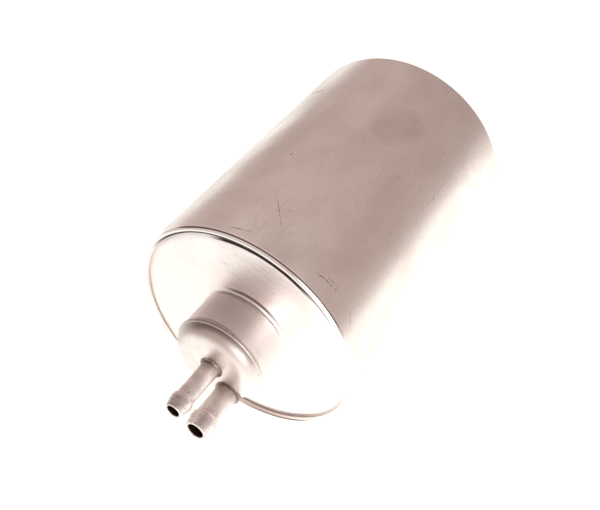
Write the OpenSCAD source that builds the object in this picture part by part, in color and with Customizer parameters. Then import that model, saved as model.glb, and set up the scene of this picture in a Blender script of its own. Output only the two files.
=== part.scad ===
// Fuel filter, in-line, with its pressure regulator built into the end with two pipes.
// The axis lies along Y, pipes towards -Y, outlet towards +Y, and the can lies on its side.
// The origin is on the axis, halfway along the can.

/* [Can] */
// Outside diameter of the can
can_d = 84; // [72:1:110]
// Length of the can, from the rolled rim to the closed end
can_l = 114; // [95:1:180]
// Thickness of the drawn wall
can_wall = 1.4; // [1:0.1:2]
// Rounding between the wall and the closed end
end_round = 2; // [1.8:0.1:6]
// Width of the lip rolled in over the cover
lip_w = 2.3; // [1.8:0.1:3]
// Height of the rolled lip above the cover's flange
lip_h = 1.9; // [1.6:0.1:2.4]
// Thickness of the thinned wall around the cover
lip_t = 0.9; // [0.7:0.1:1.2]
// Thickness of the squeezed seal under the cover
seal_t = 1; // [0.6:0.1:2]

/* [Cover and boss] */
// Thickness of the pressed cover
cover_t = 1.3; // [1:0.1:2]
// Distance of the cover's face below the rim
face_drop = 1.2; // [0:0.1:1.5]
// Rounding at the edge of the cover's face
face_round = 8; // [3:0.5:12]
// Diameter of the boss
boss_d = 32; // [28:0.5:40]
// Height of the boss above the rim
boss_h = 12.1; // [11:0.1:20]
// Fillet where the boss leaves the cover
boss_fillet = 1.5; // [0.8:0.1:2.5]
// Wall of the boss
boss_wall = 1.2; // [1:0.1:1.5]

/* [Port cap] */
// How far the rolled bead stands proud of the boss
bead_rise = 0.3; // [0.1:0.1:2]
// Height of the bead
bead_h = 1.8; // [1.5:0.1:2.6]
// Height of the cap above its seat on the boss
cap_h = 5.4; // [4.4:0.1:6]
// Width of the rounded shoulder between the flat face and the boss's side
shoulder_w = 5.5; // [4.5:0.1:6]
// Thickness of the cap
cap_t = 1.2; // [1:0.1:1.5]
// Depth of the spigot that sits inside the boss
spigot_l = 4; // [3:0.5:5]

/* [Pipes] */
// Outside diameter of the inlet and outlet pipes
feed_d = 8; // [7:0.1:9]
// Wall of the inlet and outlet pipes
feed_wall = 1.1; // [0.8:0.1:1.5]
// Outside diameter of the return pipe
return_d = 6.4; // [5.5:0.1:7]
// Wall of the return pipe
return_wall = 0.95; // [0.7:0.05:1.2]
// Length of the inlet pipe above the cap's face
inlet_l = 17.5; // [14:0.5:35]
// Length of the return pipe above the cap's face
return_l = 20; // [14:0.5:35]
// Length of the outlet pipe beyond the closed end
outlet_l = 28; // [14:0.5:45]
// Distance of the inlet pipe's side from the boss's side
inlet_inset = 1.3; // [1:0.1:2.5]
// Direction of the inlet pipe from the axis, up from +X
inlet_clock = -58; // [-180:1:180]
// How far a hose barb stands proud of its pipe
barb_rise = 0.6; // [0.4:0.05:0.9]
// Length of a hose barb
barb_l = 6; // [5:0.5:8]
// Length of the straight land on a hose barb
barb_land = 1.2; // [1:0.1:2]
// Width of the brazing fillet at the foot of a pipe
braze_w = 1; // [0.6:0.1:1.2]

/* [Filter element] */
// Space between the end discs and the can's wall
element_gap = 2.4; // [1:0.2:6]
// Space between the pleats and the centre tube
core_gap = 1; // [0.5:0.1:3]
// Number of pleats
pleats = 48; // [36:2:60]
// Thickness of the filter paper
paper_t = 0.6; // [0.4:0.1:0.8]
// Thickness of the end discs
disc_t = 1; // [0.8:0.1:1.5]
// Height of the end discs' rims
disc_rim = 4; // [3:0.5:6]
// Outside diameter of the centre tube
core_d = 26; // [22:1:28]
// Wall of the centre tube
core_wall = 0.8; // [0.6:0.1:1.2]
// Diameter of the holes in the centre tube
core_hole = 4; // [3:0.5:5]
// Space between the cover's rim and the closed end disc
top_space = 22; // [19:0.5:30]
// Space between the open end disc and the closed end of the can
foot_space = 5; // [4.5:0.5:8]

/* [Regulator] */
// Space between the regulator and the boss's wall
regulator_gap = 1.3; // [0.8:0.1:2.5]
// Thickness of the shells
shell_t = 0.8; // [0.6:0.1:1]
// Height of the spring chamber
spring_room = 7.2; // [6.5:0.1:8]
// Space between the ball's cage and the screen
screen_gap = 0.2; // [0.1:0.1:2]
// Thickness of the diaphragm
diaphragm_t = 0.8; // [0.6:0.1:1]
// Lift of the valve, until its collar meets the return pipe
valve_lift = 0.6; // [0.4:0.1:0.9]
// Diameter of the valve ball
ball_d = 3.8; // [3.4:0.1:4.2]
// Bore of the valve seat
seat_bore = 2.8; // [2.2:0.1:3]
// Wire of the regulator spring
reg_wire = 1; // [0.8:0.1:1.1]

/* [Clearances] */
// Space left between faces that are pressed or rolled together
touch_gap = 0.02; // [0.01:0.01:0.05]
// Radial space between loose pieces
loose_gap = 0.3; // [0.2:0.05:0.5]

/* [Hidden] */
$fn = 96;
can_r = can_d / 2;
far_s = can_l;
lip_r = can_r - lip_w;
flange_r = can_r - lip_t - touch_gap;
flange_s = lip_h + touch_gap;
cover_back = flange_s + cover_t;
seat_depth = cover_back + seal_t + 2 * touch_gap;
boss_r = boss_d / 2;
boss_in = boss_r - boss_wall;
cap_seat = -boss_h;
cap_face = cap_seat - cap_h;
cap_face_r = boss_r - shoulder_w;
spigot_r = boss_in - touch_gap;
spigot_in = spigot_r - cap_t * 0.6;
bead_r = bead_h / 2;
bead_out = boss_r + bead_rise;
// the cap's shoulder is one arc, level at the flat face and ending at the bead
shoulder_x = bead_out - bead_r * 0.7 - cap_face_r;
shoulder_y = cap_h - bead_h * 0.95;
shoulder_r = (shoulder_x * shoulder_x + shoulder_y * shoulder_y) / (2 * shoulder_y);
feed_r = feed_d / 2;
return_r = return_d / 2;
pipe_stop = cap_seat - 0.8;
// the inlet keeps clear of the return pipe's barb even on a small boss
inlet_clear = feed_r + return_r + 2 * barb_rise + loose_gap;
inlet_offset = max(boss_r - inlet_inset - feed_r, inlet_clear);
// regulator stations, counted along the axis from the rim
roll_t = 0.6;
clamp_w = 2.6;
clamp_r = boss_in - regulator_gap - roll_t - touch_gap;
shell_out = clamp_r - clamp_w;
shell_in = shell_out - shell_t;
clamp_s = cap_seat + cap_t + spring_room + shell_t + 1.9;
spring_top = clamp_s - spring_room;
neck_r = return_r + 1.4;
diaphragm_s = clamp_s;
valve_top = diaphragm_s + diaphragm_t + touch_gap;
plate_r = shell_in - 3.5;
plate_t = 0.7;
valve_head = diaphragm_s - plate_t - 0.5;
seat_r = seat_bore / 2 + 0.9;
seat_foot = valve_top + plate_t + 1.6;
ball_r = ball_d / 2;
ball_s = seat_foot + sqrt(ball_r * ball_r - seat_bore * seat_bore / 4) + touch_gap;
cage_s = ball_s + 1.1;
cage_bore = ball_r + loose_gap / 2;
cage_floor = ball_s + ball_r + 1.9;
cage_r = shell_in - touch_gap;
cage_wall = 0.8;
screen_t = 0.5;
screen_s = cage_floor + cage_wall + screen_gap;
valve_foot = screen_s + screen_t + touch_gap + shell_t;
// filter element stations
disc_s = top_space;
paper_s = disc_s + disc_t;
paper_end = far_s - can_wall - foot_space - disc_t;
disc_r = can_r - can_wall - element_gap - disc_t;
pleat_r = disc_r - 1.2;
core_r = core_d / 2;
core_l = paper_end - paper_s;
pleat_in = core_r + core_gap;
grommet_r = feed_r + 2.4;
holder_r = boss_r + 6;

// puts a shape that is drawn from the rim upwards onto the filter's axis
module along_axis() {
    translate([0, -can_l / 2, 0])
        rotate([-90, 0, 0])
            children();
}

// moves a shape to the inlet pipe's own axis
module on_inlet() {
    rotate(-inlet_clock)
        translate([inlet_offset, 0, 0])
            children();
}

// a washer between two radii and two stations
module washer(inner, outer, low, high) {
    translate([0, 0, low])
        difference() {
            cylinder(r = outer, h = high - low);
            translate([0, 0, -1])
                cylinder(r = inner, h = high - low + 2);
        }
}

// an upright slab in a section, from one radius to another
module slab(inner, outer, low, high) {
    translate([inner, low])
        square([outer - inner, high - low]);
}

// a quarter of a disc that rounds a corner, turned to its quadrant
module quarter(x, y, r, turn) {
    translate([x, y])
        rotate(turn)
            intersection() {
                circle(r = r);
                square(r + 1);
            }
}

// a pipe from its foot to its tip, with a hose barb at the tip
module barbed_pipe(outer_r, bore_r, foot, tip) {
    head_r = outer_r + barb_rise;
    tip_r = outer_r - 0.25;
    rise_l = barb_rise * 1.6;
    rotate_extrude()
        polygon([
            [bore_r, foot], [outer_r, foot], [outer_r, tip - barb_l],
            [head_r - 0.12, tip - barb_l + rise_l * 0.75], [head_r, tip - barb_l + rise_l],
            [head_r, tip - barb_l + rise_l + barb_land], [tip_r + 0.2, tip - 0.35],
            [tip_r, tip - 0.1], [tip_r - 0.15, tip], [bore_r + 0.2, tip], [bore_r, tip - 0.2]
        ]);
}

// a fillet of braze around a pipe's foot
module braze_ring(pipe_r, base) {
    translate([0, 0, base])
        rotate_extrude()
            difference() {
                slab(pipe_r + touch_gap, pipe_r + braze_w, 0, braze_w);
                translate([pipe_r + braze_w, braze_w])
                    circle(r = braze_w - touch_gap);
            }
}

// points along a round wire wound into a coil with closed ends
function coil_angle(i, steps) = 360 * i / steps;
function coil_rise(t) = t < 0.2 ? 0.35 * t : t > 0.8 ? 1 - 0.35 * (1 - t) : 0.07 + 0.86 * (t - 0.2) / 0.6;
function coil_point(i, j, mean, wire, length, turns, steps, sides) =
    let (
        t = i / (turns * steps),
        a = coil_angle(i, steps),
        b = 360 * j / sides,
        r = mean + wire / 2 * cos(b)
    )
    [r * cos(a), r * sin(a), wire / 2 + (length - wire) * coil_rise(t) + wire / 2 * sin(b)];

// a compression spring standing on z = 0
module coil_spring(mean, wire, length, turns) {
    steps = 20;
    sides = 8;
    last = turns * steps;
    rings = [
        for (i = [0 : last]) for (j = [0 : sides - 1])
            coil_point(i, j, mean, wire, length, turns, steps, sides)
    ];
    walls = [
        for (i = [0 : last - 1]) for (j = [0 : sides - 1])
            let (a = i * sides + j, b = i * sides + (j + 1) % sides)
                [a, a + sides, b + sides, b]
    ];
    start_cap = [[for (j = [0 : sides - 1]) j]];
    end_cap = [[for (j = [sides - 1 : -1 : 0]) last * sides + j]];
    polyhedron(points = rings, faces = concat(walls, start_cap, end_cap), convexity = 6);
}

// drawn can with a closed end, a thinned seat for the cover and a lip rolled over it
module can_shell() {
    inner_r = can_r - can_wall;
    inner_round = max(end_round - can_wall, 0.4);
    lip_round = lip_t + 0.35;
    color([0.75, 0.70, 0.68])
        along_axis()
            difference() {
                rotate_extrude()
                    difference() {
                        union() {
                            slab(0, can_r, lip_round, far_s - end_round);
                            slab(0, can_r - lip_round, 0, far_s);
                            slab(0, can_r - end_round, far_s - end_round, far_s);
                            quarter(can_r - lip_round, lip_round, lip_round, -90);
                            quarter(can_r - end_round, far_s - end_round, end_round, 0);
                        }
                        union() {
                            slab(-1, inner_r, seat_depth, far_s - can_wall - inner_round);
                            slab(-1, inner_r - inner_round, seat_depth, far_s - can_wall);
                            quarter(inner_r - inner_round, far_s - can_wall - inner_round, inner_round, 0);
                            slab(-1, can_r - lip_t, lip_h, seat_depth + 0.01);
                            slab(-1, lip_r, -1, seat_depth);
                        }
                    }
                translate([0, 0, far_s - can_wall - 1])
                    cylinder(r = feed_r + touch_gap, h = can_wall + 2);
            }
}

// pressed cover with the hollow boss drawn out of its middle
module end_cover() {
    face_s = face_drop;
    arc_drop = flange_s - face_s;
    arc_r = sqrt(face_round * face_round - pow(face_round - arc_drop, 2));
    face_r = lip_r - 0.4 - arc_r;
    color([0.86, 0.83, 0.82])
        along_axis()
            rotate_extrude()
                difference() {
                    union() {
                        slab(0, flange_r, flange_s, cover_back);
                        slab(0, face_r, face_s, cover_back);
                        intersection() {
                            translate([face_r, face_s + face_round])
                                circle(r = face_round);
                            slab(face_r - 0.01, flange_r, face_s, cover_back);
                        }
                        slab(0, boss_r, cap_seat + 0.35, face_s + 0.01);
                        slab(0, boss_r - 0.35, cap_seat, cap_seat + 0.5);
                        difference() {
                            slab(0, boss_r + boss_fillet, face_s - boss_fillet, face_s + 0.01);
                            translate([boss_r + boss_fillet, face_s - boss_fillet])
                                circle(r = boss_fillet);
                        }
                    }
                    slab(-1, boss_in, cap_seat - 1, cover_back + 1);
                }
}

// flat rubber ring squeezed between the cover's flange and the can's seat
module seam_seal() {
    color([0.12, 0.12, 0.12])
        along_axis()
            washer(can_r - can_wall - 1.6, flange_r, cover_back + touch_gap, seat_depth - touch_gap);
}

// cap that closes the boss and carries both pipes
module port_cap() {
    color([0.80, 0.76, 0.74])
        along_axis()
            difference() {
                rotate_extrude()
                    difference() {
                        union() {
                            slab(0, cap_face_r, cap_face, cap_seat);
                            slab(0, bead_out - bead_r, cap_seat - bead_h, cap_seat);
                            slab(0, spigot_r, cap_seat - 0.5, cap_seat + spigot_l);
                            translate([bead_out - bead_r, cap_seat - bead_r])
                                circle(r = bead_r);
                            intersection() {
                                translate([cap_face_r, cap_face + shoulder_r])
                                    circle(r = shoulder_r);
                                slab(cap_face_r - 0.01, cap_face_r + shoulder_x, cap_face, cap_seat - bead_h / 2);
                            }
                        }
                        union() {
                            slab(-1, cap_face_r, cap_face + cap_t, cap_seat + spigot_l + 1);
                            slab(-1, spigot_in, cap_seat - bead_h / 2, cap_seat + spigot_l + 1);
                            intersection() {
                                translate([cap_face_r, cap_face + shoulder_r])
                                    circle(r = shoulder_r - cap_t);
                                slab(cap_face_r - 0.01, spigot_in, cap_face, cap_seat);
                            }
                        }
                    }
                translate([0, 0, cap_face - 1])
                    cylinder(r = return_r + touch_gap, h = cap_t + 2);
                on_inlet()
                    translate([0, 0, cap_face - 1])
                        cylinder(r = feed_r + touch_gap, h = pipe_stop - cap_face + 1 + touch_gap);
            }
}

module inlet_pipe() {
    color([0.72, 0.66, 0.64])
        along_axis()
            on_inlet()
                mirror([0, 0, 1])
                    barbed_pipe(feed_r, feed_r - feed_wall, -pipe_stop, inlet_l - cap_face);
}

// the return pipe ends where the valve's collar stops
module return_pipe() {
    return_foot = valve_head - valve_lift - touch_gap;
    color([0.72, 0.66, 0.64])
        along_axis()
            mirror([0, 0, 1])
                barbed_pipe(return_r, return_r - return_wall, -return_foot, return_l - cap_face);
}

module outlet_pipe() {
    color([0.72, 0.66, 0.64])
        along_axis()
            barbed_pipe(feed_r, feed_r - feed_wall, paper_end - 3, far_s + outlet_l);
}

// the inlet stands on the sloping shoulder, so its fillet is cut to follow the slope
module inlet_braze() {
    color([0.62, 0.56, 0.53])
        along_axis()
            difference() {
                on_inlet()
                    washer(feed_r + touch_gap, feed_r + braze_w * 0.6, cap_face - 0.35, cap_seat - bead_h);
                rotate_extrude()
                    union() {
                        slab(0, cap_face_r, cap_face - touch_gap, cap_seat);
                        slab(0, bead_out, cap_seat - bead_h - touch_gap, cap_seat);
                        intersection() {
                            translate([cap_face_r, cap_face + shoulder_r])
                                circle(r = shoulder_r + touch_gap);
                            slab(cap_face_r - 0.01, cap_face_r + shoulder_x + 1, cap_face - 1, cap_seat);
                        }
                    }
            }
}

module return_braze() {
    color([0.62, 0.56, 0.53])
        along_axis()
            mirror([0, 0, 1])
                braze_ring(return_r, -cap_face + touch_gap);
}

module outlet_braze() {
    color([0.62, 0.56, 0.53])
        along_axis()
            braze_ring(feed_r, far_s + touch_gap);
}

// paper folded in and out around the centre tube
module pleated_paper() {
    turn = 360 / pleats;
    outer_turn = paper_t / 2 / pleat_r * 180 / PI;
    inner_turn = paper_t / 2 / pleat_in * 180 / PI;
    // where the two sides of a fold are one thickness of paper apart
    fill = paper_t * (pleat_r - pleat_in) * pleats / (2 * PI);
    valley_r = (pleat_in + sqrt(pleat_in * pleat_in + 4 * fill)) / 2;
    ridge_r = (pleat_r + sqrt(max(pleat_r * pleat_r - 4 * fill, 0))) / 2;
    outside = [
        for (i = [0 : pleats - 1]) for (j = [0 : 2])
            let (a = i * turn + [-outer_turn, outer_turn, turn / 2][j])
                [pleat_r, pleat_r, valley_r][j] * [cos(a), sin(a)]
    ];
    inside = [
        for (i = [0 : pleats - 1]) for (j = [0 : 2])
            let (a = i * turn + [0, turn / 2 - inner_turn, turn / 2 + inner_turn][j])
                [ridge_r, pleat_in, pleat_in][j] * [cos(a), sin(a)]
    ];
    color([0.86, 0.76, 0.52])
        along_axis()
            translate([0, 0, paper_s + touch_gap])
                linear_extrude(core_l - 2 * touch_gap)
                    difference() {
                        polygon(outside);
                        polygon(inside);
                    }
}

// sheet metal clip that closes the ring of pleats along one outer fold
module seam_clip() {
    color([0.70, 0.71, 0.72])
        along_axis()
            translate([pleat_r + touch_gap, -1.5, paper_s + disc_rim + 1])
                cube([0.5, 3, core_l - 2 * disc_rim - 2]);
}

// perforated tube that the pleats stand against
module centre_tube() {
    rows = floor((core_l - 12) / (core_hole * 2.2));
    pitch = (core_l - 12) / rows;
    color([0.74, 0.75, 0.76])
        along_axis()
            difference() {
                washer(core_r - core_wall, core_r, paper_s + touch_gap, paper_end - touch_gap);
                for (row = [0 : rows - 1])
                    for (turn = [0 : 3])
                        rotate(turn * 45 + (row % 2) * 22.5)
                            translate([0, 0, paper_s + 6 + (row + 0.5) * pitch])
                                rotate([90, 0, 0])
                                    cylinder(r = core_hole / 2, h = core_d + 2, center = true);
            }
}

// end disc on the regulator's side, without an opening
module closed_disc() {
    color([0.78, 0.79, 0.80])
        along_axis()
            union() {
                translate([0, 0, disc_s])
                    cylinder(r = disc_r + disc_t, h = disc_t);
                washer(disc_r, disc_r + disc_t, disc_s, disc_s + disc_rim);
            }
}

// end disc on the outlet's side, open in the middle for the grommet
module open_disc() {
    color([0.78, 0.79, 0.80])
        along_axis()
            union() {
                washer(grommet_r + touch_gap, disc_r + disc_t, paper_end, paper_end + disc_t);
                washer(disc_r, disc_r + disc_t, paper_end + disc_t - disc_rim, paper_end + disc_t);
                washer(grommet_r + touch_gap, grommet_r + disc_t, paper_end, paper_end + disc_t + 2);
            }
}

// rubber bush that seals the element on the outlet pipe
module outlet_grommet() {
    color([0.13, 0.13, 0.13])
        along_axis()
            union() {
                washer(feed_r + touch_gap, grommet_r, paper_end - 1, paper_end + disc_t + 2);
                washer(feed_r + touch_gap, grommet_r + 1.4, paper_end - 1.8, paper_end - touch_gap);
            }
}

// spring that presses the element onto the grommet
module element_spring() {
    wire = 1.8;
    color([0.55, 0.56, 0.58])
        along_axis()
            translate([0, 0, cover_back + touch_gap])
                coil_spring((holder_r + disc_r) / 2, wire, disc_s - cover_back - 2 * touch_gap, 3);
}

// ring with three feet that carries the regulator under the cover
module regulator_holder() {
    collar_in = shell_out + touch_gap;
    color([0.70, 0.71, 0.72])
        along_axis()
            union() {
                washer(collar_in, collar_in + 0.9, valve_top + shell_t + touch_gap, cover_back + 1.1);
                for (turn = [0 : 2])
                    rotate(30 + turn * 120)
                        translate([collar_in + 0.4, -3, cover_back + touch_gap])
                            cube([holder_r - collar_in, 6, 1.08]);
            }
}

// upper half of the regulator, around its spring
module spring_shell() {
    color([0.82, 0.78, 0.62])
        along_axis()
            rotate_extrude()
                union() {
                    slab(neck_r, shell_out, spring_top - shell_t, spring_top);
                    slab(shell_in, shell_out, spring_top - shell_t, clamp_s);
                    slab(shell_in, clamp_r, clamp_s - shell_t - touch_gap, clamp_s - touch_gap);
                    slab(neck_r, neck_r + shell_t, spring_top - 3.2, spring_top);
                }
}

// lower half of the regulator, rolled over the flange of the upper half
module valve_shell() {
    rim_in = clamp_r + touch_gap;
    rim_top = clamp_s - 2 * shell_t - 2 * touch_gap;
    color([0.80, 0.75, 0.58])
        along_axis()
            difference() {
                rotate_extrude()
                    union() {
                        slab(shell_in, rim_in + roll_t, valve_top, valve_top + shell_t);
                        slab(rim_in, rim_in + roll_t, rim_top, valve_top + shell_t);
                        slab(rim_in - 1.2, rim_in + roll_t, rim_top, rim_top + shell_t - touch_gap);
                        slab(shell_in, shell_out, valve_top, valve_foot);
                        slab(0, shell_out, valve_foot - shell_t, valve_foot);
                    }
                for (turn = [0 : 5])
                    rotate(turn * 60)
                        translate([shell_in * 0.6, 0, valve_foot - shell_t - 1])
                            cylinder(r = 1.7, h = shell_t + 2);
            }
}

// fabric-backed rubber disc with one rolled fold
module diaphragm() {
    fold_r = (shell_in + plate_r + 0.6) / 2;
    fold_w = (shell_in - plate_r - 0.6) / 2 - 0.25;
    color([0.10, 0.10, 0.10])
        along_axis()
            rotate_extrude()
                difference() {
                    union() {
                        slab(seat_r + touch_gap, clamp_r, diaphragm_s + touch_gap, diaphragm_s + diaphragm_t);
                        intersection() {
                            translate([fold_r, diaphragm_s + diaphragm_t])
                                circle(r = fold_w + diaphragm_t * 0.25);
                            slab(0, clamp_r, diaphragm_s + diaphragm_t * 0.5, valve_top + 3);
                        }
                    }
                    translate([fold_r, diaphragm_s + diaphragm_t * 0.5])
                        circle(r = fold_w - diaphragm_t * 0.45);
                }
}

// regulator spring between the upper shell and the collar on the diaphragm
module regulator_spring() {
    color([0.60, 0.61, 0.63])
        along_axis()
            translate([0, 0, spring_top + touch_gap])
                coil_spring(neck_r + 0.9, reg_wire, spring_room - plate_t - 2 * touch_gap, 3);
}

// tube with a flange below the diaphragm, whose lower end is the seat
module valve_seat() {
    color([0.75, 0.68, 0.45])
        along_axis()
            rotate_extrude()
                difference() {
                    union() {
                        slab(0, seat_r, valve_head, seat_foot);
                        slab(0, plate_r, valve_top, valve_top + plate_t);
                    }
                    slab(-1, seat_bore / 2, diaphragm_s - 5, seat_foot + 1);
                }
}

// plate above the diaphragm that the spring presses on
module spring_collar() {
    color([0.66, 0.67, 0.69])
        along_axis()
            rotate_extrude()
                union() {
                    slab(seat_r + touch_gap, plate_r + 0.4, diaphragm_s - plate_t, diaphragm_s);
                    slab(seat_r + touch_gap, neck_r - reg_wire / 2 + 0.5, valve_head, diaphragm_s);
                }
}

module valve_ball() {
    color([0.82, 0.83, 0.85])
        along_axis()
            translate([0, 0, ball_s])
                sphere(r = ball_r);
}

// plate across the lower shell with the pocket that holds the ball
module ball_cage() {
    pocket_wall = 0.9;
    color([0.68, 0.69, 0.70])
        along_axis()
            difference() {
                union() {
                    translate([0, 0, cage_s])
                        cylinder(r = cage_r, h = 0.9);
                    translate([0, 0, ball_s + 0.4])
                        cylinder(r = cage_bore + pocket_wall, h = cage_floor + cage_wall - ball_s - 0.4);
                }
                translate([0, 0, ball_s - 1])
                    cylinder(r = cage_bore, h = cage_floor - ball_s + 1);
                for (turn = [0 : 3])
                    rotate(45 + turn * 90)
                        translate([(cage_bore + pocket_wall + cage_r) / 2, 0, cage_s - 1])
                            cylinder(r = 1.8, h = 3);
            }
}

module ball_spring() {
    wire = 0.35;
    color([0.60, 0.61, 0.63])
        along_axis()
            translate([0, 0, ball_s + ball_r + touch_gap])
                coil_spring(ball_r * 0.45, wire, cage_floor - ball_s - ball_r - 2 * touch_gap, 3);
}

// seal between the return pipe and the neck of the upper shell
module return_o_ring() {
    section = (neck_r - return_r) / 2 - touch_gap;
    color([0.14, 0.12, 0.10])
        along_axis()
            translate([0, 0, spring_top - 1.8])
                rotate_extrude()
                    translate([(neck_r + return_r) / 2, 0])
                        circle(r = section);
}

// fine perforated disc over the regulator's own inlet holes
module inlet_screen() {
    color([0.70, 0.66, 0.50])
        along_axis()
            difference() {
                translate([0, 0, screen_s])
                    cylinder(r = cage_r, h = screen_t);
                for (ring = [1 : 4])
                    for (turn = [0 : 6 * ring - 1])
                        rotate(turn * 60 / ring)
                            translate([ring * (cage_r - 1.8) / 4, 0, screen_s - 1])
                                cylinder(r = 0.5, h = 3, $fn = 16);
            }
}

can_shell();
end_cover();
seam_seal();
port_cap();
inlet_pipe();
return_pipe();
outlet_pipe();
inlet_braze();
return_braze();
outlet_braze();
pleated_paper();
seam_clip();
centre_tube();
closed_disc();
open_disc();
outlet_grommet();
element_spring();
regulator_holder();
spring_shell();
valve_shell();
diaphragm();
regulator_spring();
valve_seat();
spring_collar();
valve_ball();
ball_cage();
ball_spring();
return_o_ring();
inlet_screen();
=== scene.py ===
import math
import bpy
import bmesh
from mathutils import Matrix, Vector


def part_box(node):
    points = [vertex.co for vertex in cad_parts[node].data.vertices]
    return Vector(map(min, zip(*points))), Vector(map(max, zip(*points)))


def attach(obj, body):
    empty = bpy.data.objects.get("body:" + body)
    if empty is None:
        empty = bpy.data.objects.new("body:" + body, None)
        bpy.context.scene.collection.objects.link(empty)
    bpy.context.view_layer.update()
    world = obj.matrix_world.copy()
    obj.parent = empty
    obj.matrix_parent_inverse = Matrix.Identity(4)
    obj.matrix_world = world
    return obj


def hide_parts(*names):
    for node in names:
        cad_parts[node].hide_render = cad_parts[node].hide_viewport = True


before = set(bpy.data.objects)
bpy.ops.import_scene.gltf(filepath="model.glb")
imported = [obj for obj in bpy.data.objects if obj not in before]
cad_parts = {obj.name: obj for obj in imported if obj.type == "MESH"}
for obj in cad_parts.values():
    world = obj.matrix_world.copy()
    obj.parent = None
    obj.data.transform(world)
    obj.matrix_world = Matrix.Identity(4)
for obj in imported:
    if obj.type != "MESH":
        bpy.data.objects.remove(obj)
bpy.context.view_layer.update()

mm = 0.001


def linear(hexCode):
    # sRGB hex to the linear colour that the shaders want
    channels = [int(hexCode[i:i + 2], 16) / 255 for i in (1, 3, 5)]
    return tuple(c / 12.92 if c <= 0.04045 else ((c + 0.055) / 1.055) ** 2.4 for c in channels) + (1.0,)


def addNode(tree, kind, links=(), **settings):
    # one node with its settings; a link's value is either another node's socket or a plain value
    node = tree.nodes.new(kind)
    for name, value in settings.items():
        setattr(node, name, value)
    for socket, value in links:
        if isinstance(value, bpy.types.NodeSocket):
            tree.links.new(value, node.inputs[socket])
        else:
            node.inputs[socket].default_value = value
    return node


def maths(tree, operation, first, second=0.0):
    return addNode(tree, "ShaderNodeMath", [(0, first), (1, second)], operation=operation).outputs[0]


def times(tree, first, second):
    return maths(tree, "MULTIPLY", first, second)


def plus(tree, first, second):
    return maths(tree, "ADD", first, second)


def boxMm(node):
    low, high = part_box(node)
    return [round(v / mm, 2) for v in low], [round(v / mm, 2) for v in high]


canLow, canHigh = boxMm("can_shell")
coverLow = boxMm("end_cover")[0]
capLow, capHigh = boxMm("port_cap")
rimY = canLow[1]                       # the rolled rim's plane, which every outline is counted from
canR = round((canHigh[0] - canLow[0]) / 2, 2)
canLength = canHigh[1] - canLow[1]
bossTop = rimY - coverLow[1]
capTop = rimY - capLow[1]
beadR = (capHigh[0] - capLow[0]) / 2
print("frame read: can", canR, "x", canLength, "mm, boss", bossTop, "mm, cap", capTop, "mm")


def arcPoints(centreX, centreY, radius, start, end, steps=10):
    angles = [math.radians(start + (end - start) * i / steps) for i in range(steps + 1)]
    return [(centreX + radius * math.cos(a), centreY + radius * math.sin(a), 0) for a in angles]


def roundedOutline(corners, steps=6):
    # corners are (radius from the axis, distance along it, rounding); the outline is closed
    outline = []
    count = len(corners)
    for i, (x, y, rounding) in enumerate(corners):
        here = Vector((x, y))
        if rounding == 0:
            outline.append((x, y))
            continue
        back = (Vector(corners[i - 1][:2]) - here).normalized()
        ahead = (Vector(corners[(i + 1) % count][:2]) - here).normalized()
        half = back.angle(ahead) / 2
        centre = here + (back + ahead).normalized() * rounding / math.sin(half)
        first = here + back * rounding / math.tan(half) - centre
        last = here + ahead * rounding / math.tan(half) - centre
        sweep = first.angle_signed(last)
        for k in range(steps + 1):
            turn = -sweep * k / steps
            outline.append((centre.x + first.x * math.cos(turn) - first.y * math.sin(turn),
                            centre.y + first.x * math.sin(turn) + first.y * math.cos(turn)))
    return outline


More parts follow.
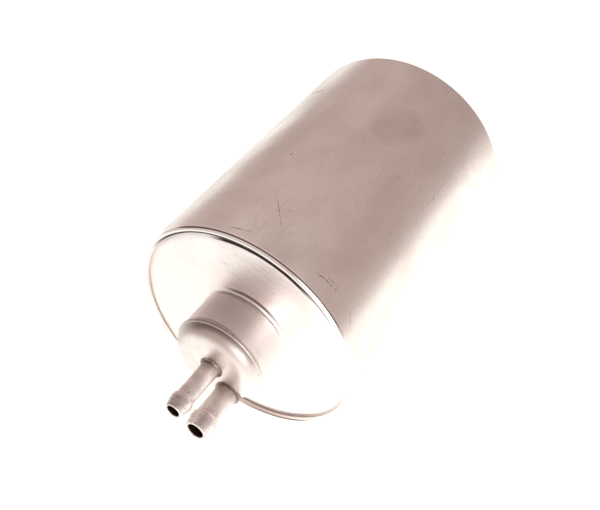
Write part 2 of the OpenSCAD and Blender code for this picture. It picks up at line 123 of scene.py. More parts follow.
def latheTree():
    # turns a section (X from the axis, Y along it) round an axis that lies along Y
    tree = bpy.data.node_groups.new("Turn a section", "GeometryNodeTree")
    face = tree.interface
    face.new_socket("Geometry", in_out="INPUT", socket_type="NodeSocketGeometry")
    face.new_socket("Facets", in_out="INPUT", socket_type="NodeSocketInt")
    face.new_socket("Axis", in_out="INPUT", socket_type="NodeSocketVector")
    face.new_socket("Finish", in_out="INPUT", socket_type="NodeSocketMaterial")
    face.new_socket("Geometry", in_out="OUTPUT", socket_type="NodeSocketGeometry")
    given = addNode(tree, "NodeGroupInput")
    section = given.outputs["Geometry"]
    size = addNode(tree, "GeometryNodeAttributeDomainSize", [("Geometry", section)], component="MESH")
    rows = size.outputs["Point Count"]
    columns = addNode(tree, "ShaderNodeMath", [(0, given.outputs["Facets"]), (1, 1.0)], operation="ADD")
    sheet = addNode(tree, "GeometryNodeMeshGrid", [
        ("Size X", 1.0), ("Size Y", 1.0), ("Vertices X", rows), ("Vertices Y", columns.outputs[0])])
    place = addNode(tree, "ShaderNodeSeparateXYZ", [(0, sheet.outputs["UV Map"])])
    lastRow = addNode(tree, "ShaderNodeMath", [(0, rows), (1, 1.0)], operation="SUBTRACT")
    row = times(tree, place.outputs["X"], lastRow.outputs[0])
    wholeRow = addNode(tree, "ShaderNodeMath", [(0, row)], operation="ROUND")
    spot = addNode(tree, "GeometryNodeInputPosition")
    point = addNode(tree, "GeometryNodeSampleIndex", [
        ("Geometry", section), ("Value", spot.outputs[0]), ("Index", wholeRow.outputs[0])],
        data_type="FLOAT_VECTOR", domain="POINT")
    reachIn = addNode(tree, "GeometryNodeInputNamedAttribute", [("Name", "reach")], data_type="FLOAT")
    reach = addNode(tree, "GeometryNodeSampleIndex", [
        ("Geometry", section), ("Value", reachIn.outputs[0]), ("Index", wholeRow.outputs[0])],
        data_type="FLOAT", domain="POINT")
    flat = addNode(tree, "ShaderNodeSeparateXYZ", [(0, point.outputs[0])])
    angle = maths(tree, "SUBTRACT", times(tree, place.outputs["Y"], math.tau), math.pi / 2)
    cosine = addNode(tree, "ShaderNodeMath", [(0, angle)], operation="COSINE")
    sine = addNode(tree, "ShaderNodeMath", [(0, angle)], operation="SINE")
    turned = addNode(tree, "ShaderNodeCombineXYZ", [
        ("X", times(tree, cosine.outputs[0], flat.outputs["X"])), ("Y", flat.outputs["Y"]),
        ("Z", times(tree, sine.outputs[0], flat.outputs["X"]))])
    moved = addNode(tree, "ShaderNodeVectorMath", [(0, turned.outputs[0]), (1, given.outputs["Axis"])],
                    operation="ADD")
    shaped = addNode(tree, "GeometryNodeSetPosition", [
        ("Geometry", sheet.outputs["Mesh"]), ("Position", moved.outputs[0])])
    skin = addNode(tree, "ShaderNodeCombineXYZ", [("X", place.outputs["Y"]), ("Y", reach.outputs[0])])
    mapped = addNode(tree, "GeometryNodeStoreNamedAttribute", [
        ("Geometry", shaped.outputs[0]), ("Name", "UVMap"), ("Value", skin.outputs[0])],
        data_type="FLOAT2", domain="CORNER")
    joined = addNode(tree, "GeometryNodeMergeByDistance", [
        ("Geometry", mapped.outputs[0]), ("Distance", 0.002 * mm)])
    real = addNode(tree, "GeometryNodeRealizeInstances", [("Geometry", joined.outputs[0])])
    done = addNode(tree, "GeometryNodeSetMaterial", [
        ("Geometry", real.outputs[0]), ("Material", given.outputs["Finish"])])
    addNode(tree, "NodeGroupOutput", [("Geometry", done.outputs[0])])
    return tree


turnSection = latheTree()


def turnedPiece(name, outline, finish, facets=256, axis=(0, 0), sharp=40, mouth=None):
    # outline in millimetres from the rim's plane; comes back as a plain closed mesh
    # its map runs round the piece in turns and along the skin in millimetres, below 0 before the mouth
    loop = outline + outline[:1]
    section = bpy.data.meshes.new(name + "Section")
    section.from_pydata([(x * mm, (rimY + y) * mm, 0) for x, y in loop],
                        [(i, i + 1) for i in range(len(loop) - 1)], [])
    runs = [0]
    for i in range(1, len(loop)):
        runs.append(runs[-1] + math.dist(loop[i], loop[i - 1]))
    start = min((abs(y - mouth), run) for (x, y), run in zip(loop, runs))[1] if mouth is not None else 0
    reach = section.attributes.new("reach", "FLOAT", "POINT")
    for i, run in enumerate(runs):
        reach.data[i].value = run - start
    holder = bpy.data.objects.new(name + "Section", section)
    bpy.context.scene.collection.objects.link(holder)
    turning = holder.modifiers.new("Turn", "NODES")
    turning.node_group = turnSection
    wanted = {"Facets": facets, "Axis": (axis[0] * mm, 0, axis[1] * mm), "Finish": finish}
    for item in turnSection.interface.items_tree:
        if item.in_out == "INPUT" and item.name in wanted:
            turning[item.identifier] = wanted[item.name]
    graph = bpy.context.evaluated_depsgraph_get()
    mesh = bpy.data.meshes.new_from_object(holder.evaluated_get(graph))
    mesh.name = name
    bpy.data.objects.remove(holder)
    bm = bmesh.new()
    bm.from_mesh(mesh)
    bmesh.ops.remove_doubles(bm, verts=bm.verts, dist=0.001 * mm)
    bmesh.ops.recalc_face_normals(bm, faces=bm.faces)
    bm.to_mesh(mesh)
    bm.free()
    mesh.shade_smooth()
    mesh.set_sharp_from_angle(angle=math.radians(sharp))
    piece = bpy.data.objects.new(name, mesh)
    bpy.context.scene.collection.objects.link(piece)
    return piece


def replaceNode(piece, node):
    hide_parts(node)
    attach(piece, "housing")


def newFinish(name, metallic=1.0):
    finish = bpy.data.materials.new(name)
    finish.use_nodes = True
    shader = finish.node_tree.nodes["Principled BSDF"]
    shader.inputs["Metallic"].default_value = metallic
    return finish, finish.node_tree, shader


def skinMm(tree, girth):
    # the turned pieces' own map, in millimetres round and along the skin
    skin = addNode(tree, "ShaderNodeUVMap", uv_map="UVMap")
    return addNode(tree, "ShaderNodeVectorMath", [(0, skin.outputs[0]), (1, (girth, 1, 1))],
                   operation="MULTIPLY").outputs[0]


def bodyMm(tree):
    place = addNode(tree, "ShaderNodeTexCoord")
    return addNode(tree, "ShaderNodeVectorMath", [(0, place.outputs["Object"]), (1, (1 / mm,) * 3)],
                   operation="MULTIPLY").outputs[0]


def part(tree, vector, axis):
    return addNode(tree, "ShaderNodeSeparateXYZ", [(0, vector)]).outputs[axis]


def grain(tree, coords, feature, detail=3.0, roughness=0.5, shift=0.0):
    # noise whose features measure so many millimetres along each axis
    scaled = addNode(tree, "ShaderNodeVectorMath", [
        (0, coords), (1, tuple(1 / f for f in feature)), (2, (shift, shift, shift))],
        operation="MULTIPLY_ADD")
    noise = addNode(tree, "ShaderNodeTexNoise", [
        ("Vector", scaled.outputs[0]), ("Scale", 1.0), ("Detail", detail), ("Roughness", roughness)])
    return noise.outputs["Fac"]


def step(tree, value, low, high, fromValue=0.0, toValue=1.0):
    # smooth change from one value to another between two thresholds
    return addNode(tree, "ShaderNodeMapRange", [
        ("Value", value), ("From Min", low), ("From Max", high), ("To Min", fromValue), ("To Max", toValue)],
        interpolation_type="SMOOTHSTEP").outputs[0]


def blendColour(tree, factor, first, second):
    return addNode(tree, "ShaderNodeMix", [(0, factor), (6, first), (7, second)], data_type="RGBA").outputs[2]


def scratch(tree, coords, at, length, width, angle=0.0):
    # 1 on a thin line of the given length, fading at its sides and ends; coords in millimetres
    moved = addNode(tree, "ShaderNodeVectorMath", [(0, coords), (1, (at[0], at[1], 0))],
                    operation="SUBTRACT")
    wave = addNode(tree, "ShaderNodeTexNoise", [
        ("Vector", moved.outputs[0]), ("Scale", 0.45), ("Detail", 2.0)])
    turned = addNode(tree, "ShaderNodeVectorRotate", [
        ("Vector", moved.outputs[0]), ("Angle", math.radians(angle))], rotation_type="Z_AXIS")
    across = plus(tree, part(tree, turned.outputs[0], "Y"),
                   times(tree, maths(tree, "SUBTRACT", wave.outputs["Fac"], 0.5), 1.2))
    beside = step(tree, maths(tree, "ABSOLUTE", across), width, width * 0.3)
    beyond = step(tree, maths(tree, "ABSOLUTE", part(tree, turned.outputs[0], "X")), length / 2, length * 0.3)
    return times(tree, beside, beyond)


def strongest(tree, masks):
    most = masks[0]
    for mask in masks[1:]:
        most = maths(tree, "MAXIMUM", most, mask)
    return most


def bumped(tree, shader, height, depth):
    # depth is how far a full step of the height stands up, in millimetres
    bump = addNode(tree, "ShaderNodeBump", [("Height", height), ("Distance", depth * mm)])
    tree.links.new(bump.outputs[0], shader.inputs["Normal"])


def ringShade(tree, body, inner, outer, low, high):
    # painted shade in a ring between two radii round the axis, fading in from one height to another
    across = addNode(tree, "ShaderNodeVectorMath", [(0, body), (1, (1, 0, 1))], operation="MULTIPLY")
    away = addNode(tree, "ShaderNodeVectorMath", [(0, across.outputs[0])], operation="LENGTH")
    fade = 0.15
    ring = times(tree, step(tree, away.outputs["Value"], inner - fade, inner + fade),
                 step(tree, away.outputs["Value"], outer + fade, outer - fade))
    return times(tree, ring, step(tree, part(tree, body, "Z"), low, high))


# handling scratches: degrees round from +X, distance from the rim, length, width and lean
canScratches = [
    (92, 4.2, 9, 0.34, 12), (84, 17, 15, 0.22, -50), (49, 7.5, 10, 0.28, 5), (47, 9.0, 6, 0.2, 8),
    (30, 6, 6, 0.2, -40), (101, 44, 1.6, 0.7, 0), (35, 67, 1.0, 0.6, 0)]


def canFinish():
    # satin drawn wall: hair-fine lines along the can, cloudy haze, a polished lip, handling scratches
    finish, tree, shader = newFinish("satinDrawnAluminium")
    girth = math.tau * canR
    skin = skinMm(tree, girth)
    body = bodyMm(tree)
    y = part(tree, body, "Y")
    onEnd = step(tree, y, rimY + canLength - 1.6, rimY + canLength - 0.6)

    def either(wall, end):
        return addNode(tree, "ShaderNodeMix", [(0, onEnd), (2, wall), (3, end)]).outputs[0]

    # the closed end has faint rings where the wall has lines
    lines = either(grain(tree, skin, (0.5, 45, 1), 4, 0.6), grain(tree, skin, (500, 0.5, 1), 3, 0.6))
    haze = either(grain(tree, skin, (16, 26, 1), 4, 0.6, 3.1),
                  grain(tree, body, (14, 14, 14), 4, 0.6, 3.1))
    speckle = either(grain(tree, skin, (1.3, 1.6, 1), 2, 0.5, 7.7),
                     grain(tree, body, (1.5, 1.5, 1.5), 2, 0.5, 7.7))
    onLip = step(tree, y, rimY + 1.6, rimY + 0.9)
    flat = addNode(tree, "ShaderNodeCombineXYZ", [("X", part(tree, skin, "X")), ("Y", y)]).outputs[0]

    def at(degrees):
        # the map's seam is underneath, a quarter turn before +X
        return ((degrees + 90) % 360) / 360 * girth

    dark = [scratch(tree, flat, (at(turn), rimY + along), length, width, lean)
            for turn, along, length, width, lean in canScratches]
    broken = step(tree, grain(tree, skin, (0.5, 0.5, 1), 4, 0.7, 12.5), 0.44, 0.54)
    specks = step(tree, grain(tree, skin, (0.55, 0.9, 1), 2, 0.6, 31.5), 0.70, 0.76)
    drawLines = step(tree, grain(tree, skin, (0.3, 26, 1), 3, 0.6, 41.5), 0.60, 0.74)
    marks = times(tree, strongest(tree, dark), broken)
    rust = scratch(tree, flat, (at(127), rimY + 89.6), 9, 0.5, -8)
    smudge = times(tree, scratch(tree, flat, (at(70), rimY + 78), 26, 8, 62),
                   step(tree, grain(tree, skin, (7, 9, 1), 4, 0.6, 21.0), 0.1, 0.75))
    colour = blendColour(tree, step(tree, haze, 0.3, 0.7), linear("#efe7e2"), linear("#e2d8d2"))
    speckle = step(tree, speckle, 0.62, 0.8)
    colour = blendColour(tree, times(tree, speckle, 0.25), colour, linear("#a4958c"))
    colour = blendColour(tree, times(tree, smudge, 0.3), colour, linear("#9c9188"))
    colour = blendColour(tree, times(tree, specks, 0.65), colour, linear("#7f7068"))
    onWall = step(tree, onEnd, 1, 0)
    colour = blendColour(tree, times(tree, drawLines, times(tree, onWall, 0.26)), colour, linear("#94857c"))
    colour = blendColour(tree, times(tree, marks, 0.7), colour, linear("#6d5f58"))
    colour = blendColour(tree, times(tree, rust, 0.75), colour, linear("#7a4238"))
    colour = blendColour(tree, onLip, colour, linear("#faf3f0"))
    # painted shade in the groove behind the lip's inner edge, on the upper side only
    lipShade = times(tree, ringShade(tree, body, 39.4, 40.55, 18, 30), onWall)
    colour = blendColour(tree, lipShade, colour, linear("#2a201c"))
    # and a painted shadow line where the lip rests on the table
    tableShadow = times(tree, ringShade(tree, body, 41.45, 43, -33, -38),
                  step(tree, y, rimY + 1.8, rimY + 1.2))
    tableShadow = times(tree, tableShadow, step(tree, part(tree, body, "X"), 15, 6))
    colour = blendColour(tree, tableShadow, colour, linear("#1d1614"))
    tree.links.new(colour, shader.inputs["Base Color"])
    wall = plus(tree, step(tree, haze, 0.25, 0.75, 0.27, 0.36), step(tree, lines, 0.3, 0.7, -0.03, 0.04))
    gloss = addNode(tree, "ShaderNodeMix", [(0, onLip), (2, wall), (3, 0.13)]).outputs[0]
    tree.links.new(gloss, shader.inputs["Roughness"])
    height = maths(tree, "SUBTRACT", times(tree, lines, 0.35), marks)
    bumped(tree, shader, height, 0.012)
    return finish


def coverFinish():
    # bright rolled sheet: soft mirror with faint rolling lines, worn over the boss, painted shade by the lip
    # and round the boss's foot
    finish, tree, shader = newFinish("brightRolledAluminium")
    body = bodyMm(tree)
    height, side = part(tree, body, "Z"), part(tree, body, "X")
    face = addNode(tree, "ShaderNodeCombineXYZ", [("X", side), ("Y", height)]).outputs[0]
    turned = addNode(tree, "ShaderNodeVectorRotate", [("Vector", face), ("Angle", math.radians(14))],
                     rotation_type="Z_AXIS").outputs[0]
    rolled = grain(tree, turned, (22, 0.35, 1), 4, 0.6)
    cloud = grain(tree, face, (9, 7, 1), 4, 0.6, 4.4)
    hair = step(tree, grain(tree, turned, (6, 0.16, 1), 2, 0.5, 9.3), 0.66, 0.74)
    spots = step(tree, grain(tree, face, (0.5, 0.5, 1), 1, 0.5, 2.2), 0.76, 0.82)
    patch = step(tree, grain(tree, face, (12, 9, 1), 2, 0.5, 6.1), 0.5, 0.62)
    marks = maths(tree, "MAXIMUM", times(tree, hair, patch), times(tree, spots, patch))
    colour = blendColour(tree, step(tree, cloud, 0.3, 0.7), linear("#fbf5f2"), linear("#f7efec"))
    # a worn, dull patch with hairlines over the boss, thinning out towards the lip
    worn = times(tree, step(tree, height, 13, 19), step(tree, side, 26, 8))
    worn = times(tree, worn, step(tree, side, -14, -4))
    hairlines = step(tree, grain(tree, turned, (6, 0.25, 1), 4, 0.7, 15.3), 0.42, 0.66)
    onBoss = step(tree, part(tree, body, "Y"), rimY - 0.6, rimY - 2.4)
    worn = times(tree, worn, step(tree, onBoss, 0.1, 0.0))
    colour = blendColour(tree, times(tree, worn, times(tree, hairlines, 0.38)), colour,
                         linear("#a8979a"))
    # painted shade on the cover's edge below the lip, on the upper side only
    lipShade = times(tree, ringShade(tree, body, 37.35, 41, 26, 32), step(tree, side, -13, -5))
    # painted shadow on the cover round the upper side of the boss's foot
    fillet = times(tree, ringShade(tree, body, 16.7, 17.9, 7, 15), step(tree, side, -9, -1))
    fillet = times(tree, fillet, step(tree, onBoss, 0.1, 0.0))
    colour = blendColour(tree, times(tree, fillet, 0.8), colour, linear("#4f4440"))
    colour = blendColour(tree, lipShade, colour, linear("#352b27"))
    colour = blendColour(tree, times(tree, marks, 0.55), colour, linear("#9d8c86"))
    tree.links.new(colour, shader.inputs["Base Color"])
    gloss = plus(tree, step(tree, cloud, 0.3, 0.7, 0.30, 0.38), times(tree, rolled, 0.06))
    # the boss was drawn deeper and is duller
    gloss = plus(tree, gloss, times(tree, onBoss, 0.12))
    tree.links.new(gloss, shader.inputs["Roughness"])
    bumped(tree, shader, maths(tree, "SUBTRACT", times(tree, rolled, 0.3), marks), 0.006)
    return finish


def capFinish():
    # spun cap: faint rings left by the spinning tool, small scuffs along the bead
    finish, tree, shader = newFinish("spunCapAluminium")
    skin = skinMm(tree, math.tau * beadR)
    body = bodyMm(tree)
    rings = grain(tree, skin, (60, 0.3, 1), 3, 0.6)
    cloud = grain(tree, body, (5, 5, 5), 4, 0.6, 1.7)
    scuff = times(tree, step(tree, grain(tree, body, (0.8, 0.6, 0.8), 3, 0.6, 5.5), 0.6, 0.68),
                  step(tree, part(tree, body, "Y"), rimY - bossTop - 3.2, rimY - bossTop - 1.2))
    colour = blendColour(tree, step(tree, cloud, 0.3, 0.7), linear("#f8f0ec"), linear("#eee4df"))
    y = part(tree, body, "Y")
    # painted shade on the upper side of the cap's shoulder
    shoulderShade = times(tree, step(tree, y, rimY - capTop + 0.1, rimY - capTop + 1.2),
                       step(tree, part(tree, body, "Z"), -4, 9))
    colour = blendColour(tree, times(tree, shoulderShade, 0.6), colour, linear("#b5a6a0"))
    colour = blendColour(tree, times(tree, scuff, 0.55), colour, linear("#8d7b73"))
    tree.links.new(colour, shader.inputs["Base Color"])
    gloss = plus(tree, step(tree, cloud, 0.3, 0.7, 0.36, 0.44), times(tree, rings, 0.05))
    tree.links.new(gloss, shader.inputs["Roughness"])
    bumped(tree, shader, maths(tree, "SUBTRACT", times(tree, rings, 0.4), scuff), 0.012)
    return finish


def pipeFinish():
    # drawn tube: fine lines along it, painted shade at the foot, scuffs on the barb, painted shade in the
    # bore
    finish, tree, shader = newFinish("drawnPipeAluminium")
    skin = skinMm(tree, 25)
    body = bodyMm(tree)
    y = part(tree, body, "Y")
    boreShade = step(tree, part(tree, skin, "Y"), 0.25, 0.7)
    lines = grain(tree, skin, (0.3, 12, 1), 3, 0.6)
    cloud = grain(tree, body, (3, 3.5, 3), 4, 0.65, 2.9)
    # painted shade at the foot of each pipe, by the cap and by the can's closed end
    foot = times(tree, step(tree, maths(tree, "ABSOLUTE", plus(tree, y, capTop - rimY)), 5, 0.4),
                 step(tree, y, 0, -1))
    farFoot = step(tree, y, rimY + canLength + 4.5, rimY + canLength + 0.4)
    footShade = maths(tree, "MAXIMUM", foot, times(tree, farFoot, step(tree, y, 0, 1)))
    scuff = times(tree, step(tree, grain(tree, body, (0.5, 0.7, 0.5), 4, 0.7, 8.8), 0.50, 0.64),
                  step(tree, part(tree, skin, "Y"), -11, -7))
    colour = blendColour(tree, step(tree, cloud, 0.3, 0.7), linear("#faf3f0"), linear("#ece2dd"))
    colour = blendColour(tree, times(tree, footShade, 0.6), colour, linear("#857268"))
    colour = blendColour(tree, times(tree, scuff, 0.5), colour, linear("#7d6b62"))
    # painted shade inside the bore, past the mouth
    colour = blendColour(tree, boreShade, colour, linear("#4a3a31"))
    tree.links.new(colour, shader.inputs["Base Color"])
    gloss = plus(tree, step(tree, cloud, 0.3, 0.7, 0.42, 0.52), times(tree, lines, 0.06))
    tree.links.new(gloss, shader.inputs["Roughness"])
    bumped(tree, shader, maths(tree, "SUBTRACT", times(tree, lines, 0.5), scuff), 0.015)
    return finish


def plainFinish(name, sizes):
    # pressed or wound inner pieces: cloudy colour, grain and bump of the given feature sizes
    finish, tree, shader = newFinish(name, sizes.get("metallic", 1.0))
    body = bodyMm(tree)
    cloud = grain(tree, body, (sizes["cloud"],) * 3, 4, 0.6, sizes["seed"])
    fine = grain(tree, body, sizes["fine"], 3, 0.6, sizes["seed"] + 5)
    colour = blendColour(tree, step(tree, cloud, 0.3, 0.7), linear(sizes["light"]), linear(sizes["dark"]))
    tree.links.new(colour, shader.inputs["Base Color"])
    low, high = sizes["gloss"]
    gloss = plus(tree, step(tree, cloud, 0.3, 0.7, low, high), times(tree, fine, 0.06))
    tree.links.new(gloss, shader.inputs["Roughness"])
    bumped(tree, shader, fine, sizes["depth"])
    return finish


innerFinishes = {
    # dull braze alloy, lumpy where it ran
    "braze": ("dullBrazeAlloy", {
        "light": "#b3a69e", "dark": "#857469", "gloss": (0.38, 0.5), "cloud": 0.9,
        "fine": (0.35, 0.35, 0.35), "depth": 0.06, "seed": 1.0}),
    # resin-stiffened paper, matt and fibrous
    "paper": ("resinFilterPaper", {
        "light": "#dcc48c", "dark": "#c9ac6e", "gloss": (0.8, 0.9), "cloud": 7.0,
        "fine": (0.25, 0.6, 0.25), "depth": 0.05, "seed": 2.0, "metallic": 0.0}),
    # bluish bright zinc, slightly patchy
    "zinc_steel": ("zincPlatedSteel", {
        "light": "#d5d8da", "dark": "#b9bdc1", "gloss": (0.28, 0.4), "cloud": 5.0,
        "fine": (0.6, 0.6, 0.6), "depth": 0.01, "seed": 3.0}),
    # yellow passivated steel with its greenish iridescence faded
    "yellow_steel": ("yellowPassivatedSteel", {
        "light": "#d9c27c", "dark": "#c2a765", "gloss": (0.3, 0.42), "cloud": 3.0,
        "fine": (0.5, 0.5, 0.5), "depth": 0.01, "seed": 4.0}),
    # oiled spring wire with die lines
    "spring_steel": ("drawnSpringWire", {
        "light": "#a9abae", "dark": "#85878b", "gloss": (0.3, 0.42), "cloud": 4.0,
        "fine": (0.3, 0.3, 0.3), "depth": 0.01, "seed": 5.0}),
    # turned brass with tool marks across the axis
    "brass": ("turnedBrass", {
        "light": "#d8bd72", "dark": "#c0a05a", "gloss": (0.22, 0.32), "cloud": 3.0,
        "fine": (8.0, 0.15, 8.0), "depth": 0.008, "seed": 6.0}),
    # ground and polished ball, almost clean mirror
    "polished_ball": ("polishedSteelBall", {
        "light": "#e3e4e6", "dark": "#d5d7da", "gloss": (0.06, 0.12), "cloud": 2.0,
        "fine": (0.2, 0.2, 0.2), "depth": 0.001, "seed": 7.0}),
    # fuel-proof rubber with a matt bloom
    "black_rubber": ("blackFuelRubber", {
        "light": "#262523", "dark": "#161615", "gloss": (0.55, 0.7), "cloud": 2.5,
        "fine": (0.3, 0.3, 0.3), "depth": 0.02, "seed": 8.0, "metallic": 0.0}),
}
finishes = {slot: plainFinish(*wanted) for slot, wanted in innerFinishes.items()}
finishes["satin_can"] = canFinish()
finishes["bright_cover"] = coverFinish()
finishes["turned_cap"] = capFinish()
finishes["drawn_pipe"] = pipeFinish()
print("finishes made:", len(finishes))


can = {"rimRound": 1.25, "farRound": 2.0, "lip": 2.3, "lipHeight": 1.9, "thin": 0.9, "wall": 1.4,
       "seat": 4.26}
lipR = canR - can["lip"]
canOutline = roundedOutline([
    (canR, 0, can["rimRound"]), (canR, canLength, can["farRound"]),
    (4.1, canLength, 0.2), (4.1, canLength - can["wall"], 0),
    (canR - can["wall"], canLength - can["wall"], 0.6), (canR - can["wall"], can["seat"], 0),
    (canR - can["thin"], can["seat"], 0), (canR - can["thin"], can["lipHeight"], 0),
    (lipR, can["lipHeight"], 0.2), (lipR, 0, 0.6)])
canBody = turnedPiece("canBody", canOutline, finishes["satin_can"], facets=360)
replaceNode(canBody, "can_shell")
print("can made")

cover = {"flange": 1.92, "thick": 1.3, "face": 1.2, "edgeRound": 8.0, "bossR": 16.0, "bossWall": 1.2,
         "fillet": 1.5}
edgeDrop = cover["flange"] - cover["face"]
edgeTurn = math.degrees(math.acos((cover["edgeRound"] - edgeDrop) / cover["edgeRound"]))
edgeX = lipR - 0.4 - cover["edgeRound"] * math.sin(math.radians(edgeTurn))
coverOutline = roundedOutline(
    [(canR - 0.92, cover["flange"] + cover["thick"], 0), (canR - 0.92, cover["flange"], 0)]
    + arcPoints(edgeX, cover["face"] + cover["edgeRound"], cover["edgeRound"], edgeTurn - 90, -90)
    + arcPoints(cover["bossR"] + cover["fillet"], cover["face"] - cover["fillet"], cover["fillet"], 90, 180)
    + [(cover["bossR"], -bossTop, 0.35), (cover["bossR"] - cover["bossWall"], -bossTop, 0),
       (cover["bossR"] - cover["bossWall"], cover["flange"] + cover["thick"], 0)])
coverPressing = turnedPiece("coverPressing", coverOutline, finishes["bright_cover"], facets=360)
replaceNode(coverPressing, "end_cover")

cap = {"bead": 1.8, "faceR": 10.5, "thick": 1.2, "spigot": 4.0}
beadTurn = cap["bead"] / 2
shoulderX = beadR - beadTurn * 0.7 - cap["faceR"]
shoulderY = capTop - bossTop - cap["bead"] * 0.95
shoulderR = (shoulderX ** 2 + shoulderY ** 2) / (2 * shoulderY)
shoulderTurn = math.degrees(math.asin(shoulderX / shoulderR))
spigotR = cover["bossR"] - cover["bossWall"] - 0.02
capOutline = roundedOutline(
    [(spigotR, cap["spigot"] - bossTop, 0), (spigotR, -bossTop, 0)]
    + arcPoints(beadR - beadTurn, -bossTop - beadTurn, beadTurn, 90, -62, 14)
    + arcPoints(cap["faceR"], -capTop + shoulderR, shoulderR, shoulderTurn - 90, -90, 12)
    + [(3.22, -capTop, 0.1), (3.22, -capTop + cap["thick"], 0)]
    + arcPoints(cap["faceR"], -capTop + shoulderR, shoulderR - cap["thick"], -90, shoulderTurn * 0.7 - 90, 6)
    + [(spigotR - 0.7, -bossTop - 1, 0), (spigotR - 0.7, cap["spigot"] - bossTop, 0)])
portCap = turnedPiece("portCap", capOutline, finishes["turned_cap"], facets=256)
replaceNode(portCap, "port_cap")
print("cover and cap made")

pipe = {"barb": 6.0, "rise": 0.6, "land": 1.2, "tipDrop": 0.25}


def pipeOutline(outerR, boreR, foot, tip):
    # foot and tip are distances along the axis; works towards either end
    way = 1 if tip > foot else -1
    headR = outerR + pipe["rise"]
    start = tip - way * pipe["barb"]
    crest = start + way * pipe["rise"] * 1.6
    return roundedOutline([
        (outerR, foot, 0), (outerR, start, 0.6), (headR, crest, 0.5),
        (headR, crest + way * pipe["land"], 0.8), (outerR - pipe["tipDrop"], tip, 0.3),
        (boreR, tip, 0.2), (boreR, foot, 0)])


pipes = {
    "inletPipe": {"node": "inlet_pipe", "outer": 4.0, "bore": 2.9},
    "returnPipe": {"node": "return_pipe", "outer": 3.2, "bore": 2.25},
    "outletPipe": {"node": "outlet_pipe", "outer": 4.0, "bore": 2.9},
}
for name, sizes in pipes.items():
    low, high = boxMm(sizes["node"])
    ends = (high[1] - rimY, low[1] - rimY) if high[1] < 0 else (low[1] - rimY, high[1] - rimY)
    axis = ((low[0] + high[0]) / 2, (low[2] + high[2]) / 2)
    outline = pipeOutline(sizes["outer"], sizes["bore"], *ends)
    piece = turnedPiece(name, outline, finishes["drawn_pipe"], 96, axis, mouth=ends[1])
    replaceNode(piece, sizes["node"])
print("pipes made")

# the inner pieces and the brazing keep their CAD shape and take the finish of their slot
slots = {
    "seam_seal": "black_rubber", "outlet_grommet": "black_rubber", "diaphragm": "black_rubber",
    "return_o_ring": "black_rubber", "inlet_braze": "braze", "return_braze": "braze", "outlet_braze": "braze",
    "pleated_paper": "paper", "element_spring": "spring_steel", "regulator_spring": "spring_steel",
    "ball_spring": "spring_steel", "spring_shell": "yellow_steel", "valve_shell": "yellow_steel",
    "valve_seat": "brass", "inlet_screen": "brass", "valve_ball": "polished_ball", "can_shell": "satin_can",
    "end_cover": "bright_cover", "port_cap": "turned_cap", "inlet_pipe": "drawn_pipe",
    "return_pipe": "drawn_pipe", "outlet_pipe": "drawn_pipe",
}
for name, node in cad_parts.items():
    node.data.materials.clear()
    node.data.materials.append(finishes[slots.get(name, "zinc_steel")])
print("inner pieces finished")


floorZ = -canR * mm
floorMesh = bpy.data.meshes.new("tableTop")
reachOut = 4.0
floorMesh.from_pydata([(-reachOut, -reachOut, floorZ), (reachOut, -reachOut, floorZ),
                       (reachOut, reachOut, floorZ), (-reachOut, reachOut, floorZ)], [], [(0, 1, 2, 3)])
tableTop = bpy.data.objects.new("tableTop", floorMesh)
bpy.context.scene.collection.objects.link(tableTop)
sweep = {"centre": (-0.09, 0.09), "white": 0.30, "edge": 0.85, "beyond": 0.5}   # metres
white, tree, shader = newFinish("whiteSweepPaper", 0.0)
shader.inputs["Base Color"].default_value = linear("#8c8b88")
shader.inputs["Roughness"].default_value = 0.95
place = addNode(tree, "ShaderNodeTexCoord")
fromMiddle = addNode(tree, "ShaderNodeVectorMath", [
    (0, place.outputs["Object"]), (1, (*sweep["centre"], floorZ))], operation="DISTANCE").outputs["Value"]
x, y = part(tree, place.outputs["Object"], "X"), part(tree, place.outputs["Object"], "Y")
paper = times(tree, step(tree, fromMiddle, sweep["edge"], sweep["white"]),
              step(tree, plus(tree, x, y), -0.55, -0.20))
glow = times(tree, step(tree, x, -0.05, 0.045, 1.12, 1.4), step(tree, y, -0.135, -0.085, 0.9, 1.0))
# the can's own shadow, only under it
shadow = times(tree, step(tree, maths(tree, "ABSOLUTE", x), 0.030, 0.004),
               step(tree, maths(tree, "ABSOLUTE", y), (canLength / 2 - 2) * mm, (canLength / 2 - 7) * mm))
glow = times(tree, glow, maths(tree, "SUBTRACT", 1.0, times(tree, shadow, 0.95)))
tree.links.new(addNode(tree, "ShaderNodeMix", [(0, paper), (2, sweep["beyond"]), (3, glow)]).outputs[0],
               shader.inputs["Emission Strength"])
shader.inputs["Emission Color"].default_value = linear("#fffefa")
floorMesh.materials.append(white)

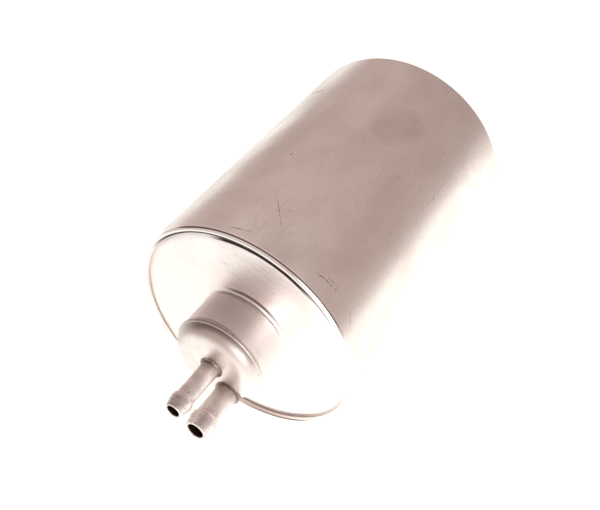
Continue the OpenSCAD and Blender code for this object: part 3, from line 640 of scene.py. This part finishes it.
# a dim warm room, darker behind, with a dark beam overhead, a thin bright slot beside it and a window
world = bpy.data.worlds.new("studio")
bpy.context.scene.world = world
world.use_nodes = True
tree = world.node_tree
background = tree.nodes["Background"]
way = addNode(tree, "ShaderNodeTexCoord").outputs["Generated"]
x, y, z = part(tree, way, "X"), part(tree, way, "Y"), part(tree, way, "Z")
room = blendColour(tree, step(tree, x, -0.7, 0.6), (0.74, 0.61, 0.575, 1), (0.66, 0.54, 0.505, 1))
room = blendColour(tree, times(tree, step(tree, y, 0.62, 0.85), step(tree, x, -0.3, 0.4)), room,
                   (0.46, 0.37, 0.345, 1))
room = blendColour(tree, step(tree, y, 0.3, 0.5, 0.0, 0.6), room, (0.50, 0.395, 0.37, 1))
beam = times(tree, times(tree, step(tree, y, 0.30, 0.10), step(tree, y, -0.60, -0.42)),
             step(tree, z, 0.0, 0.15))
room = blendColour(tree, beam, room, (0.10, 0.075, 0.065, 1))
window = times(tree, step(tree, x, 0.40, 0.62), step(tree, y, -0.35, -0.55))
room = blendColour(tree, window, room, (1.7, 1.62, 1.58, 1))
slot = times(tree, times(tree, step(tree, y, 0.40, 0.43), step(tree, y, 0.50, 0.47)),
             step(tree, z, 0.6, 0.7))
room = blendColour(tree, slot, room, (1.0, 0.92, 0.89, 1))
tree.links.new(room, background.inputs["Color"])
background.inputs["Strength"].default_value = 1.0


def softbox(name, spot, size, power, aim=(0, 0, 0)):
    lamp = bpy.data.lights.new(name, "AREA")
    lamp.shape = "RECTANGLE"
    lamp.size, lamp.size_y = size
    lamp.energy = power
    box = bpy.data.objects.new(name, lamp)
    box.location = spot
    box.rotation_euler = (Vector(aim) - Vector(spot)).to_track_quat("-Z", "Y").to_euler()
    bpy.context.scene.collection.objects.link(box)
    return box


softbox("rightBox", (0.75, -0.95, 0.35), (0.8, 0.6), 4)

camera = bpy.data.cameras.new("camera")
camera.lens = 54.93
camera.sensor_width = 36
eye = bpy.data.objects.new("camera", camera)
azimuth, elevation = math.radians(31.7), math.radians(44.0)
level = math.cos(elevation)
back = Vector((math.sin(azimuth) * level, -math.cos(azimuth) * level, math.sin(elevation)))
right = Vector((math.cos(azimuth), math.sin(azimuth), 0))
above = back.cross(right)
rimCentre = Vector((0, rimY + 1.0, 0)) * mm
rimInView = {"left": 0.439, "below": 0.589, "away": 7.183}     # in can radii
radius = canR * mm
eye.location = (rimCentre + right * rimInView["left"] * radius + above * rimInView["below"] * radius
                + back * rimInView["away"] * radius)
eye.rotation_euler = back.to_track_quat("Z", "Y").to_euler()
bpy.context.scene.collection.objects.link(eye)
bpy.context.scene.camera = eye
bpy.context.scene.view_settings.view_transform = "Standard"
print("camera at", [round(v, 4) for v in eye.location])
